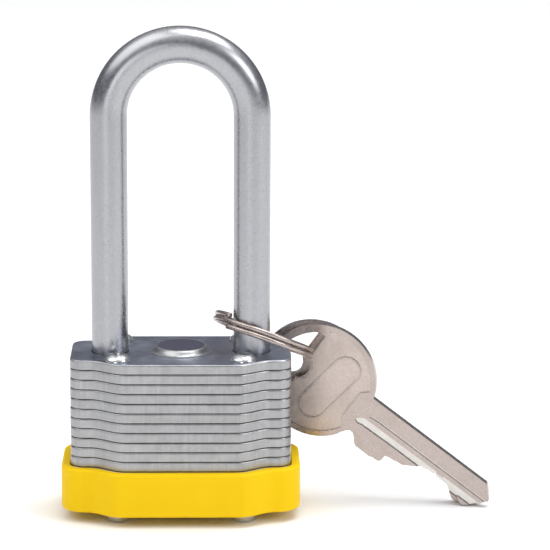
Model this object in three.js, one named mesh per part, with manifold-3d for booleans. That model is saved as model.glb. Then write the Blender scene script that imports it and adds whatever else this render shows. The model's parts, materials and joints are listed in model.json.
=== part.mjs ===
// Laminated steel padlock with a long shackle, a moulded bumper and two keys on a split ring.
// Millimetres, +Z up. The origin is the centre of the cap on top of the body, midway between
// the shackle's legs. +X is to the right and -Y is the front.
import * as THREE from 'three';
import { mergeVertices } from 'three/addons/utils/BufferGeometryUtils.js';
import Module from 'manifold-3d';

// ---- driving dimensions ----------------------------------------------------------------
const bodyWidth = 39.0; // laminated stack, end to end
const bodyDepth = 21.0; // across the raised middle
const lobeDepth = 14.8; // across the narrower ends
const middleHalf = 9.8; // half width of the raised middle
const lobeStart = 16.2; // where the curved step meets the narrow end
const cornerRadius = 2.5;
const plateCount = 15;
const platePitch = 1.765;
const plateGap = 0.03; // air left between neighbouring plates
const platesAboveBumper = 11;

const capRise = 1.0; // flat of the cap above the top plate
const capFlat = 4.3; // radius of the cap's flat
const capRadius = 5.05;
const capShank = 3.0;

const legRadius = 3.25;
const legCentre = 12.55; // leg axis from the middle of the body
const clearHeight = 51.5; // top plate to the underside of the crown
const shackleTravel = 8.6;
const toeDepth = 8.5; // left leg below the top plate
const heelDepth = 22.3; // right leg below the top plate

const rivetX = 11.05;
const rivetY = 7.2;
const rivetShank = 1.6;
const rivetHead = 2.35;
const rivetHeadHeight = 1.0;
const footRadius = 1.35; // flat of a rivet's foot

const bumperWall = 1.7;
const bumperFloor = 0.9;
const footDrop = 1.85; // rivet foot below the bumper

const plugRadius = 6.0;
const plugNose = 5.0;
const housingRadius = 7.2;
const pinLevels = [-12.6, -15.9, -19.2, -22.5]; // pin axes below the top plate
const pinRadius = 1.1;

const dogTravel = 3.8;
const dogHalfWidth = 2.4;
const dogInner = 4.0; // inner end of a dog from the middle
const noseReach = 10.5; // tip of a dog's nose from the middle
const dogPegRadius = 0.6;
const dogPegStart = 5.5;
const noseHeel = 9.0; // where a nose's lower slope ends

const ringRadius = 9.0; // middle of the wire
const ringWire = 0.5; // radius of the wire
const ringTurns = 2;
const ringCentre = new THREE.Vector3(14.6, 3.75, 1.9); // z from the top plate
const ringSlopeX = 0.381; // fall to the right
const ringSlopeY = 0.29; // fall to the rear

const keyThickness = 1.6;
const keyGap = 0.12; // air between the two keys, and between the front one and the body
const keyYaw = THREE.MathUtils.degToRad(12); // blade tips turned to the front
const keyPitch = THREE.MathUtils.degToRad(35.3); // blades below level
const bowRadius = 10.4;
// where the wire crosses each key, along and across the blade from the bow's centre
const ringSeats = [new THREE.Vector2(-5.6, 2.5), new THREE.Vector2(-5.7, 2.2)];

// air left round fitted pieces
const clearance = 0.1;
const closeClearance = 0.05;
const seatGap = 0.02; // under a rivet's head and the cap

// sides of the round pieces, and of the holes for them
const largeSides = 28;
const middleSides = 20;
const smallSides = 12;
const pinSides = 10;
const rivetHoleSides = 8;

// levels below the top plate
const level = (plates) => -plates * platePitch;
const stackBottom = level(plateCount);
const bumperBottom = stackBottom - bumperFloor;
const footLevel = bumperBottom - footDrop;

// ---- solid helpers ---------------------------------------------------------------------
const wasm = await Module();
wasm.setup();

function toSolid(geometry) {
  const bare = geometry.clone();
  bare.deleteAttribute('normal');
  bare.deleteAttribute('uv');
  const merged = mergeVertices(bare, 1e-4);
  const mesh = new wasm.Mesh({
    numProp: 3,
    vertProperties: new Float32Array(merged.attributes.position.array),
    triVerts: new Uint32Array(merged.index.array),
  });
  return new wasm.Manifold(mesh);
}

function toGeometry(solid) {
  const mesh = solid.getMesh();
  const geometry = new THREE.BufferGeometry();
  geometry.setAttribute('position', new THREE.BufferAttribute(mesh.vertProperties, 3));
  geometry.setIndex(new THREE.BufferAttribute(mesh.triVerts, 1));
  geometry.computeVertexNormals();
  return geometry;
}

const cut = (solid, ...cutters) => cutters.reduce((left, cutter) => left.subtract(cutter), solid);
const join = (solid, ...others) => others.reduce((all, other) => all.add(other), solid);

function box(x0, x1, y0, y1, z0, z1) {
  const geometry = new THREE.BoxGeometry(x1 - x0, y1 - y0, z1 - z0);
  return toSolid(geometry.translate((x0 + x1) / 2, (y0 + y1) / 2, (z0 + z1) / 2));
}

// an upright cylinder
function post(x, y, z0, z1, radius, sides) {
  const geometry = new THREE.CylinderGeometry(radius, radius, z1 - z0, sides);
  return toSolid(geometry.rotateX(Math.PI / 2).translate(x, y, (z0 + z1) / 2));
}

// the cutter for an upright hole, whose flats stay outside the radius
const drill = (x, y, z0, z1, radius, sides) =>
  post(x, y, z0, z1, radius / Math.cos(Math.PI / sides), sides);

// a cylinder along X
function bar(x0, x1, y, z, radius, sides) {
  const geometry = new THREE.CylinderGeometry(radius, radius, x1 - x0, sides);
  return toSolid(geometry.rotateZ(Math.PI / 2).translate((x0 + x1) / 2, y, z));
}

// a flat outline in X and Y, raised from z0 to z1
function slab(points, z0, z1) {
  const geometry = new THREE.ExtrudeGeometry(new THREE.Shape(points), {
    depth: z1 - z0,
    bevelEnabled: false,
  });
  return toSolid(geometry.translate(0, 0, z0));
}

// an outline in X and Z, carried from y0 to y1
function sideSlab(points, y0, y1) {
  const geometry = new THREE.ExtrudeGeometry(new THREE.Shape(points), {
    depth: y1 - y0,
    bevelEnabled: false,
  });
  return toSolid(geometry.rotateX(Math.PI / 2).translate(0, y1, 0));
}

const v2 = (x, y) => new THREE.Vector2(x, y);

// points of an arc about (x, y), both ends included
function arc(x, y, radius, from, to, steps) {
  const points = [];
  for (let i = 0; i <= steps; i++) {
    const angle = from + ((to - from) * i) / steps;
    points.push(v2(x + radius * Math.cos(angle), y + radius * Math.sin(angle)));
  }
  return points;
}

function turned(profile, sides) {
  const geometry = new THREE.LatheGeometry(profile.map(([r, z]) => v2(r, z)), sides);
  return geometry.rotateX(Math.PI / 2);
}

// A path through given stations, so a sweep spends its steps only where the path bends.
class StationPath extends THREE.Curve {
  constructor(stations) {
    super();
    this.stations = stations;
  }

  at(u) {
    return this.stations[Math.round(u * (this.stations.length - 1))];
  }

  getPoint(t) {
    return this.at(t).point.clone();
  }

  getPointAt(u) {
    return this.at(u).point.clone();
  }

  getTangentAt(u) {
    return this.at(u).tangent.clone().normalize();
  }

  getSpacedPoints() {
    return this.stations.map((station) => station.point.clone());
  }
}

function sweep(stations, radius, sides) {
  const section = new THREE.Shape(arc(0, 0, radius, 0, 2 * Math.PI * (1 - 1 / sides), sides - 1));
  return new THREE.ExtrudeGeometry(section, {
    steps: stations.length - 1,
    bevelEnabled: false,
    extrudePath: new StationPath(stations),
  });
}

// stations of a helix about +Z from z0 to z1
function helix(radius, z0, z1, turns, stepsPerTurn) {
  const steps = Math.round(turns * stepsPerTurn);
  const rise = (z1 - z0) / (2 * Math.PI * turns);
  const stations = [];
  for (let i = 0; i <= steps; i++) {
    const angle = (i / steps) * 2 * Math.PI * turns;
    const point = new THREE.Vector3(radius * Math.cos(angle), radius * Math.sin(angle), 0);
    const tangent = new THREE.Vector3(-point.y, point.x, rise);
    point.z = z0 + rise * angle;
    stations.push({ point, tangent });
  }
  return stations;
}

// ---- materials and the group -----------------------------------------------------------
const finish = (color, roughness, metalness) => () =>
  new THREE.MeshStandardMaterial({ color, roughness, metalness });
const plateSteel = finish(0xb4b6b8, 0.42, 0.9);
const shackleSteel = finish(0xb9bbbe, 0.3, 1.0);
const rivetSteel = finish(0xc9cbcd, 0.22, 1.0);
const capSteel = finish(0x4d535c, 0.4, 0.9);
const innerSteel = finish(0x8d9196, 0.45, 0.9);
const springSteel = finish(0x9aa0a6, 0.35, 1.0);
const brass = finish(0xc9a552, 0.35, 1.0);
const nickel = finish(0xcfc2b4, 0.3, 1.0);
const bumperPlastic = finish(0xf7e600, 0.38, 0.0);

const lock = new THREE.Group();
lock.position.z = -capRise; // every level below is measured from the top plate

function place(parent, name, geometry, material) {
  const mesh = new THREE.Mesh(geometry, material());
  mesh.name = name;
  parent.add(mesh);
  return mesh;
}

// ---- body outline ----------------------------------------------------------------------
// A raised middle that steps down through an S curve to a narrower, round-cornered lobe at
// each end. margin grows the outline outwards.
function bodyOutline(margin) {
  const high = bodyDepth / 2 + margin;
  const low = lobeDepth / 2 + margin;
  const end = bodyWidth / 2 + margin;
  const radius = cornerRadius + margin;
  const stepSteps = 4;
  const quarter = [];
  for (let i = 0; i <= stepSteps; i++) {
    const part = i / stepSteps;
    const x = THREE.MathUtils.lerp(middleHalf, lobeStart, part) + margin / 2;
    quarter.push(v2(x, low + ((high - low) * (1 + Math.cos(Math.PI * part))) / 2));
  }
  quarter.push(...arc(end - radius, low - radius, radius, Math.PI / 2, 0, 3));
  const mirrored = (sx, sy) => quarter.map((p) => v2(sx * p.x, sy * p.y));
  return [
    ...mirrored(1, 1),
    ...mirrored(1, -1).reverse(),
    ...mirrored(-1, -1),
    ...mirrored(-1, 1).reverse(),
  ];
}

const rivetSpots = [
  ['front_left', -rivetX, -rivetY],
  ['front_right', rivetX, -rivetY],
  ['rear_left', -rivetX, rivetY],
  ['rear_right', rivetX, rivetY],
];

// ---- laminated plates ------------------------------------------------------------------
const legClear = legRadius + 0.08; // radius of a leg's hole
const dogPlates = [1, 2];
const actuatorPlate = 3;
const housingTop = 4;
const wingTop = 6;
const toePlates = 6;
const retainerPlate = 5;
const retainerX = 9.2;
const retainerRadius = 0.8;
const retainerHalfLength = 3.5;
const dogRoomHalf = dogHalfWidth + 2 * clearance;
const actuatorRadius = 6.7;
const wingEnd = -14.0;
const wingHalf = 2.9;

function plate(index) {
  const top = level(index);
  const bottom = level(index + 1) + plateGap;
  const over = 0.5;
  const hole = (x, y, radius, sides) => drill(x, y, bottom - over, top + over, radius, sides);
  const window = (x0, x1, y0, y1) => box(x0, x1, y0, y1, bottom - over, top + over);
  const cuts = rivetSpots.map(([, x, y]) => hole(x, y, rivetShank + closeClearance, rivetHoleSides));
  const last = plateCount - 1;
  if (index < toePlates) cuts.push(hole(-legCentre, 0, legClear, middleSides));
  if (index < last) cuts.push(hole(legCentre, 0, legClear, middleSides));
  if (index === 0) cuts.push(hole(0, 0, capShank + closeClearance, smallSides));
  if (dogPlates.includes(index)) {
    cuts.push(window(-legCentre, legCentre, -dogRoomHalf, dogRoomHalf));
  }
  if (index === actuatorPlate) cuts.push(hole(0, 0, actuatorRadius + 2 * clearance, middleSides));
  if (index >= housingTop && index < last) cuts.push(hole(0, 0, housingRadius + clearance, middleSides));
  if (index >= wingTop && index < last) {
    cuts.push(window(wingEnd - 1, 0, -wingHalf - clearance, wingHalf + clearance));
  }
  if (index === retainerPlate) {
    const half = retainerHalfLength + clearance;
    cuts.push(window(retainerX - 1.3, retainerX + 1.0, -half, half));
  }
  if (index === last) cuts.push(hole(0, 0, plugNose + clearance, middleSides));
  return toGeometry(cut(slab(bodyOutline(0), bottom, top), ...cuts));
}

for (let index = 0; index < plateCount; index++) {
  const number = String(index + 1).padStart(2, '0');
  place(lock, `plate_${number}`, plate(index), plateSteel);
}

// ---- rivets ----------------------------------------------------------------------------
// a domed head above the top plate, and a flatter one below the bumper that serves as a foot
function rivetGeometry() {
  const profile = [
    [0, footLevel],
    [footRadius, footLevel],
    [2.0, footLevel + 0.3],
    [rivetHead, bumperBottom - seatGap],
    [rivetShank, bumperBottom - seatGap],
    [rivetShank, seatGap],
    [rivetHead, seatGap],
    [2.2, 0.4],
    [1.5, 0.82],
    [0.7, rivetHeadHeight],
    [0, rivetHeadHeight],
  ];
  return turned(profile, smallSides);
}

for (const [spot, x, y] of rivetSpots) {
  place(lock, `rivet_${spot}`, rivetGeometry(), rivetSteel).position.set(x, y, 0);
}

// ---- bumper ----------------------------------------------------------------------------
// a cup round the lowest plates, with its outer edges eased and an opening for the key
function bumperGeometry() {
  const top = level(platesAboveBumper);
  const ease = 0.45;
  const outer = new THREE.ExtrudeGeometry(new THREE.Shape(bodyOutline(bumperWall - ease)), {
    depth: top - bumperBottom - 2 * ease,
    bevelThickness: ease,
    bevelSize: ease,
    bevelSegments: 2,
  });
  const shell = toSolid(outer.translate(0, 0, bumperBottom + ease));
  const pocket = slab(bodyOutline(closeClearance), stackBottom, top + 1);
  const openingRadius = 6.4;
  const keyOpening = drill(0, 0, bumperBottom - 1, stackBottom + 1, openingRadius, middleSides);
  const rivetHoles = rivetSpots.map(([, x, y]) =>
    drill(x, y, bumperBottom - 1, stackBottom + 1, rivetShank + closeClearance, rivetHoleSides));
  return toGeometry(cut(shell, pocket, keyOpening, ...rivetHoles));
}
place(lock, 'bumper', bumperGeometry(), bumperPlastic);

// ---- cap -------------------------------------------------------------------------------
const capProfile = [
  [0, level(1) + clearance],
  [capShank, level(1) + clearance],
  [capShank, seatGap],
  [capRadius, seatGap],
  [capRadius, 0.2],
  [4.75, 0.65],
  [capFlat, capRise],
  [0, capRise],
];
place(lock, 'top_cap', turned(capProfile, largeSides), capSteel);

// ---- shackle ---------------------------------------------------------------------------
const dogTop = -2.1;
const noseBottom = -4.4;
const dogBottom = -5.1;
const notchFloor = noseReach + clearance;
const grooveFlat = retainerX + retainerRadius + clearance;
const springBoreRadius = 1.6;
const springBoreDepth = 8;

function shackleGeometry() {
  const crownLevel = clearHeight + legRadius - legCentre;
  const straight = (x, z, direction) => ({
    point: new THREE.Vector3(x, 0, z),
    tangent: new THREE.Vector3(0, 0, direction),
  });
  const stations = [straight(-legCentre, -toeDepth, 1)];
  const crownSteps = 20;
  for (let i = 0; i <= crownSteps; i++) {
    const angle = Math.PI * (1 - i / crownSteps);
    stations.push({
      point: new THREE.Vector3(
        legCentre * Math.cos(angle), 0, crownLevel + legCentre * Math.sin(angle)),
      tangent: new THREE.Vector3(Math.sin(angle), 0, -Math.cos(angle)),
    });
  }
  stations.push(straight(legCentre, -heelDepth, -1));
  const rod = toSolid(sweep(stations, legRadius, middleSides));
  // a notch on each leg's inner side, square above and sloping below
  const notch = (side) => {
    const points = [
      v2(side * (legCentre - legRadius - 1), dogTop + 0.2),
      v2(side * notchFloor, dogTop + 0.2),
      v2(side * notchFloor, noseBottom - 0.1),
      v2(side * (legCentre - legRadius - 0.1), noseBottom - 3.2),
      v2(side * (legCentre - legRadius - 1), noseBottom - 3.2),
    ];
    return sideSlab(side < 0 ? points : points.reverse(), -4, 4);
  };
  // a flat down the heel, which the retaining pin runs in
  const pinLevel = level(retainerPlate + 0.5);
  const groove = box(
    legCentre - legRadius - 1, grooveFlat, -4, 4,
    pinLevel - retainerRadius - shackleTravel - 0.15, pinLevel + retainerRadius + 0.15);
  const springBore = post(
    legCentre, 0, -heelDepth - 1, -heelDepth + springBoreDepth, springBoreRadius, smallSides);
  return toGeometry(cut(rod, notch(-1), notch(1), groove, springBore));
}
place(lock, 'shackle', shackleGeometry(), shackleSteel);

const shackleSpringStations = helix(1.15, level(14) + 0.3, -heelDepth + 7.6, 8, 8);
const shackleSpring = sweep(shackleSpringStations, 0.22, 5).translate(legCentre, 0, 0);
place(lock, 'shackle_spring', shackleSpring, springSteel);

const retainer = new THREE.CylinderGeometry(
  retainerRadius, retainerRadius, 2 * retainerHalfLength, smallSides);
retainer.translate(retainerX, 0, level(retainerPlate + 0.5));
place(lock, 'heel_retaining_pin', retainer, innerSteel);

// ---- locking dogs and their spring -----------------------------------------------------
const pegBottom = -6.7;
const springPocket = 1.35;
const pocketDepth = 2.0;

function dogGeometry(side) {
  const outline = [
    v2(side * dogInner, dogTop),
    v2(side * noseReach, dogTop),
    v2(side * noseReach, noseBottom),
    v2(side * noseHeel, dogBottom),
    v2(side * dogInner, dogBottom),
  ];
  const block = sideSlab(side > 0 ? outline.reverse() : outline, -dogHalfWidth, dogHalfWidth);
  const peg = post(side * dogPegStart, 0, pegBottom, dogBottom + 0.5, dogPegRadius, pinSides);
  const inner = Math.min(side * (dogInner - 1), side * (dogInner + pocketDepth));
  const outer = Math.max(side * (dogInner - 1), side * (dogInner + pocketDepth));
  const pocket = bar(inner, outer, 0, (dogTop + dogBottom) / 2, springPocket, pinSides);
  return toGeometry(join(cut(block, pocket), peg));
}
place(lock, 'left_locking_dog', dogGeometry(-1), innerSteel);
place(lock, 'right_locking_dog', dogGeometry(1), innerSteel);

const dogSpringHalf = dogInner + pocketDepth - 0.35;
const dogSpring = sweep(helix(0.95, -dogSpringHalf, dogSpringHalf, 8, 8), 0.2, 5);
place(lock, 'dog_spring', dogSpring.rotateY(Math.PI / 2).translate(0, 0, (dogTop + dogBottom) / 2),
  springSteel);

// ---- actuator and plug -----------------------------------------------------------------
const actuatorTop = -5.45;
const actuatorBottom = -6.9;
const tangHalf = 0.8;
const tangReach = 3.2;
const tangDepth = 0.9;

// a disc with a spiral slot for each dog's peg, and a bar below that drives it from the plug
function actuatorGeometry() {
  const disc = post(0, 0, actuatorBottom, actuatorTop, actuatorRadius, largeSides);
  const tang = box(
    -tangReach, tangReach, -tangHalf, tangHalf, actuatorBottom - tangDepth, actuatorBottom + 0.2);
  const slotHalf = dogPegRadius + 0.27;
  const slotSteps = 24;
  const overrun = 0.03; // of the travel, past each end
  const slot = (start) => {
    const outside = [];
    const inside = [];
    for (let i = 0; i <= slotSteps; i++) {
      const turn = (i / slotSteps) * (1 + 2 * overrun) - overrun;
      const angle = start - (turn * Math.PI) / 2;
      const radius = dogPegStart - dogTravel * turn;
      outside.push(v2((radius + slotHalf) * Math.cos(angle), (radius + slotHalf) * Math.sin(angle)));
      inside.push(v2((radius - slotHalf) * Math.cos(angle), (radius - slotHalf) * Math.sin(angle)));
    }
    const strip = slab([...outside, ...inside.reverse()], actuatorBottom - 0.01, actuatorTop + 1);
    const ends = [0, 1].map((turn) => {
      const angle = start - (turn * Math.PI) / 2;
      const radius = dogPegStart - dogTravel * turn;
      return post(
        radius * Math.cos(angle), radius * Math.sin(angle),
        actuatorBottom - 0.01, actuatorTop + 1, slotHalf, 12);
    });
    return join(strip, ...ends);
  };
  return toGeometry(join(cut(disc, slot(0), slot(Math.PI)), tang));
}
place(lock, 'actuator', actuatorGeometry(), innerSteel);

const plugTop = actuatorBottom - 0.2;
const plugShoulder = level(plateCount - 1) + 0.2;
const keywayLeft = -3.9;
const keywayRight = 4.7;
const keywayHalf = 1.15;
const keywayTop = -9.2;
const pinBore = pinRadius + 0.08;

function plugGeometry() {
  const core = join(
    post(0, 0, plugShoulder, plugTop, plugRadius, largeSides),
    post(0, 0, stackBottom, plugShoulder + 0.1, plugNose, largeSides));
  const tangSlot = box(
    -tangReach - clearance, tangReach + clearance, -tangHalf - clearance, tangHalf + clearance,
    actuatorBottom - tangDepth - clearance, 0);
  const keyway = box(keywayLeft, keywayRight, -keywayHalf, keywayHalf, stackBottom - 1, keywayTop);
  const bores = pinLevels.map((z) =>
    bar(-plugRadius - 1, keywayLeft + 0.5, 0, z, pinBore, pinSides));
  return toGeometry(cut(core, tangSlot, keyway, ...bores));
}
place(lock, 'plug', plugGeometry(), brass);

// ---- cylinder housing, pins and springs ------------------------------------------------
const coverLeft = wingEnd + clearance;
const coverRight = coverLeft + 0.8;
const coverHalf = 1.95;
const coverBottom = pinLevels[3] - 1.55;
const coverTop = pinLevels[0] + 1.55;

function housingGeometry() {
  const tube = post(0, 0, plugShoulder, level(housingTop) - clearance, housingRadius, largeSides);
  const wing = box(wingEnd, 0, -wingHalf, wingHalf, plugShoulder, level(wingTop) - clearance);
  const bore = post(0, 0, plugShoulder - 1, 0, plugRadius + 0.08, largeSides);
  const chambers = pinLevels.map((z) => bar(coverRight - 0.5, 0, 0, z, pinBore, pinSides));
  const coverSeat = box(
    wingEnd - 1, coverRight, -coverHalf - closeClearance, coverHalf + closeClearance,
    coverBottom - closeClearance, coverTop + closeClearance);
  return toGeometry(cut(join(tube, wing), bore, ...chambers, coverSeat));
}
place(lock, 'cylinder_housing', housingGeometry(), brass);

const cover = box(coverLeft, coverRight - seatGap, -coverHalf, coverHalf, coverBottom, coverTop);
place(lock, 'pin_chamber_cover', toGeometry(cover), brass);

const shearGap = 0.15; // air on each side of the plug's surface
const driverLength = 3.0;
const driverInner = -plugRadius - shearGap;
const driverOuter = driverInner - driverLength;
pinLevels.forEach((z, i) => {
  const number = i + 1;
  const keyPinTip = -2.7 + 0.25 * (i % 2); // pins of differing length
  const keyPin = join(
    bar(-plugRadius + shearGap, keyPinTip - 0.5, 0, z, pinRadius, pinSides),
    bar(keyPinTip - 0.6, keyPinTip, 0, z, pinRadius * 0.6, pinSides));
  place(lock, `key_pin_${number}`, toGeometry(keyPin), brass);
  const driverPin = bar(driverOuter, driverInner, 0, z, pinRadius, pinSides);
  place(lock, `driver_pin_${number}`, toGeometry(driverPin), innerSteel);
  const springStations = helix(0.78, coverRight + 0.25, driverOuter - 0.25, 4, 8);
  const pinSpring = sweep(springStations, 0.16, 5);
  place(lock, `pin_spring_${number}`, pinSpring.rotateY(Math.PI / 2).translate(0, 0, z), springSteel);
});

// ---- split ring ------------------------------------------------------------------------
// The ring leans down to the right and to the rear, hung on the right leg.
const ringNormal = new THREE.Vector3(ringSlopeX, ringSlopeY, 1).normalize();
const ringAcross = new THREE.Vector3(1, 0, -ringSlopeX).normalize();
const ringBack = new THREE.Vector3().crossVectors(ringNormal, ringAcross);

const ringGroup = new THREE.Group();
ringGroup.position.copy(ringCentre);
ringGroup.quaternion.setFromRotationMatrix(
  new THREE.Matrix4().makeBasis(ringAcross, ringBack, ringNormal));
lock.add(ringGroup);

const ringPitch = 2 * ringWire + 0.06;
const ringStations = helix(ringRadius, -ringPitch, ringPitch, ringTurns, 30);
const ringEnds = THREE.MathUtils.degToRad(218); // the wire's two ends lie opposite the keys
place(ringGroup, 'split_ring', sweep(ringStations, ringWire, 6).rotateZ(ringEnds), nickel);

// ---- keys ------------------------------------------------------------------------------
// In a key's own plane x runs along the blade to its tip and y across it, from the centre of
// the round bow.
function keyBlank() {
  const half = keyThickness / 2;
  const bladeTop = 3.45;
  const neck = -3.6;
  const blade = [
    v2(8.0, bladeTop),
    v2(8.0, neck),
    v2(11.2, neck),
    v2(12.3, -4.0),
    v2(13.7, -5.5),
    v2(17.2, -5.5),
    v2(17.7, -3.8),
    v2(21.2, -3.3),
    v2(23.1, -2.05),
    v2(24.6, -1.2),
    v2(26.6, -1.2),
    v2(27.3, 0),
    v2(28.0, 0),
    v2(28.7, -1.0),
    v2(31.2, -1.0),
    v2(33.9, -2.5),
    v2(34.4, -2.5),
    v2(37.4, 0.9),
    v2(35.3, bladeTop),
  ];
  const bow = post(0, 0, -half, half, bowRadius, 36);
  // the hole for the ring: a segment under the rim, with a round bay towards the blade
  const rim = 1.4;
  const chord = -4.0;
  const holeHalf = 7.4;
  const segment = post(0, 0, -3, 3, bowRadius - rim, 36)
    .intersect(box(-bowRadius, chord, -holeHalf, holeHalf, -3, 3));
  const bay = post(-5.2, 0, -3, 3, 2.5, 16);
  const groove = box(10.5, 40, -1.8, -0.3, half - 0.45, 3);
  return cut(join(bow, slab(blade, -half, half)), segment, bay, groove);
}

const keyAcross = new THREE.Vector3(Math.cos(keyYaw), -Math.sin(keyYaw), 0);
const keyNormal = new THREE.Vector3(Math.sin(keyYaw), Math.cos(keyYaw), 0); // to the rear

// where the middle of the ring's wire meets a plane square to keyNormal
function ringMeets(planeOffset) {
  const a = ringRadius * ringAcross.dot(keyNormal);
  const b = ringRadius * ringBack.dot(keyNormal);
  const reach = (planeOffset - ringCentre.dot(keyNormal)) / Math.hypot(a, b);
  const angle = Math.atan2(b, a) - Math.acos(reach);
  return ringCentre.clone()
    .addScaledVector(ringAcross, ringRadius * Math.cos(angle))
    .addScaledVector(ringBack, ringRadius * Math.sin(angle));
}

// the front key lies just behind the rounded rear corner of the body's right end
const rearCorner = new THREE.Vector3(bodyWidth / 2 - cornerRadius, lobeDepth / 2 - cornerRadius, 0);
const frontKeyPlane = rearCorner.dot(keyNormal) + cornerRadius + keyGap + keyThickness / 2;

const keySolid = keyBlank();
['front_key', 'rear_key'].forEach((name, i) => {
  const pivot = ringMeets(frontKeyPlane + i * (keyThickness + keyGap));
  const along = keyAcross.clone().multiplyScalar(Math.cos(keyPitch));
  along.z = -Math.sin(keyPitch);
  const up = keyAcross.clone().multiplyScalar(Math.sin(keyPitch));
  up.z = Math.cos(keyPitch);
  const keyGroup = new THREE.Group();
  keyGroup.position.copy(pivot)
    .addScaledVector(along, -ringSeats[i].x)
    .addScaledVector(up, -ringSeats[i].y);
  keyGroup.quaternion.setFromRotationMatrix(
    new THREE.Matrix4().makeBasis(along, up, keyNormal.clone().negate()));
  lock.add(keyGroup);
  place(keyGroup, name, toGeometry(keySolid), nickel);
});

export default lock;
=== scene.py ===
import json
import math
import random

import bmesh
import bpy
from bpy.props import FloatProperty, FloatVectorProperty, IntProperty, PointerProperty
from bpy.types import Operator, Panel, PropertyGroup
from mathutils import Matrix, Vector


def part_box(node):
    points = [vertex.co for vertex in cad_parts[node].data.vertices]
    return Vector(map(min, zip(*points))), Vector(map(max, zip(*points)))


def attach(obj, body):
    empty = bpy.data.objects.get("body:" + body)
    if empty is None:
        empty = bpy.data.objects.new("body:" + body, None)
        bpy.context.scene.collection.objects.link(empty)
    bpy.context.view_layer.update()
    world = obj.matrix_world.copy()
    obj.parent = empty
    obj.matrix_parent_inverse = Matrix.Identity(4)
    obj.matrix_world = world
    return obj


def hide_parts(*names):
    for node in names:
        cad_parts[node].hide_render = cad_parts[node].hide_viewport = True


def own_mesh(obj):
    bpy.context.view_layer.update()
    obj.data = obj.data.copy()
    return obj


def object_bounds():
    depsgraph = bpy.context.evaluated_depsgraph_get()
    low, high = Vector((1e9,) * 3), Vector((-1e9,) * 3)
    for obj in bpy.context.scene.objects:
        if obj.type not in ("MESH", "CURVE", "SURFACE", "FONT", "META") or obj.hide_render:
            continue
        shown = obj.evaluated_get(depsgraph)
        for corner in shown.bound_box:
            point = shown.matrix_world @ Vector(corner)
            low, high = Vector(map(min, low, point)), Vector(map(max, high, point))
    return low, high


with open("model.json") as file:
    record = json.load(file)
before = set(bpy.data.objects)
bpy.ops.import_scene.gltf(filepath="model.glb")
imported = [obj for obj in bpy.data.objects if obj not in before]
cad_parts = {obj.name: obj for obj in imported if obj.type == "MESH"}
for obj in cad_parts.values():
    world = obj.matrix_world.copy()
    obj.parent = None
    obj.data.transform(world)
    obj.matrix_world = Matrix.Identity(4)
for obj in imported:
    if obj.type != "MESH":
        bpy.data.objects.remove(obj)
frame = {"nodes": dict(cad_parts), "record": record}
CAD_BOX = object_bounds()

bl_info = {
    "name": "Laminated Safety Padlock",
    "version": (1, 0, 0),
    "blender": (4, 5, 0),
    "location": "View3D > Sidebar > Padlock",
    "description": "Builds a laminated safety padlock with its long shackle, bumper, split ring and keys",
    "category": "Object",
}

MM = 0.001

# ---- where things are, from the frame --------------------------------------------------
JOINTS = {joint["name"]: joint for joint in frame["record"]["behaviour"]["joints"]}
STACK_LOW, STACK_HIGH = (Vector(corner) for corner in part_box("plate_01"))
TOP = STACK_HIGH.z
BODY_WIDTH = STACK_HIGH.x - STACK_LOW.x
BODY_DEPTH = STACK_HIGH.y - STACK_LOW.y
PLATE_COUNT = sum(name.startswith("plate_") for name in frame["nodes"])
PLATE_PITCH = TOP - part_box("plate_02")[1][2]
PLATE_THICK = STACK_HIGH.z - STACK_LOW.z
SHACKLE_LOW, SHACKLE_HIGH = (Vector(corner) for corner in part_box("shackle"))
LEG_RADIUS = (SHACKLE_HIGH.y - SHACKLE_LOW.y) / 2
LEG_CENTRE = SHACKLE_HIGH.x - LEG_RADIUS
BUMPER_LOW, BUMPER_HIGH = (Vector(corner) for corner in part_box("bumper"))
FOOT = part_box("rivet_front_left")[0][2]
STACK_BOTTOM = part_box("plate_15")[0][2]
PLUG_LOW, PLUG_HIGH = (Vector(corner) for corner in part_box("plug"))
RIVETS = {
    name: (Vector(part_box(name)[0]) + Vector(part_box(name)[1])) / 2
    for name in frame["nodes"] if name.startswith("rivet_")
}

# ---- fits that several pieces share ----------------------------------------------------
SEAT = 0.02 * MM  # air under the rivets' heads and the cap
RIVET_HOLE = 1.66 * MM
CAP_STEM = 3.0 * MM
CAP_HOLE = 3.05 * MM
PLUG_HOLE = 5.1 * MM


def level(plates):
    """The height of the top of that many plates down the stack."""
    return TOP - plates * PLATE_PITCH


# ---- sizes and colours that a user would change ----------------------------------------
def length(name, description, default):
    return FloatProperty(name=name, description=description, default=default, min=0.0,
                         precision=5, unit="LENGTH", subtype="DISTANCE")


def turn(name, description, degrees):
    return FloatProperty(name=name, description=description, default=math.radians(degrees),
                         unit="ROTATION", subtype="ANGLE")


def paint(name, description, default):
    return FloatVectorProperty(name=name, description=description, default=default,
                               min=0.0, max=1.0, subtype="COLOR", size=3)


class PadlockBodySizes(PropertyGroup):
    lobe_depth: length("Lobe depth", "Front to back across the narrow ends", 14.8 * MM)
    middle_half: length("Middle half width", "Half the width of the raised middle", 9.8 * MM)
    lobe_start: length("Lobe start", "Where the curved step meets the narrow end", 16.2 * MM)
    corner: length("Corner radius", "Radius of the stack's four corners", 2.5 * MM)
    upper_ease: length("Upper edge", "Rounding of each plate's upper edge", 0.34 * MM)
    lower_ease: length("Lower edge", "Rounding of each plate's lower edge", 0.16 * MM)
    stray: length("Stray", "How far a plate may sit out of line", 0.035 * MM)


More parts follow.
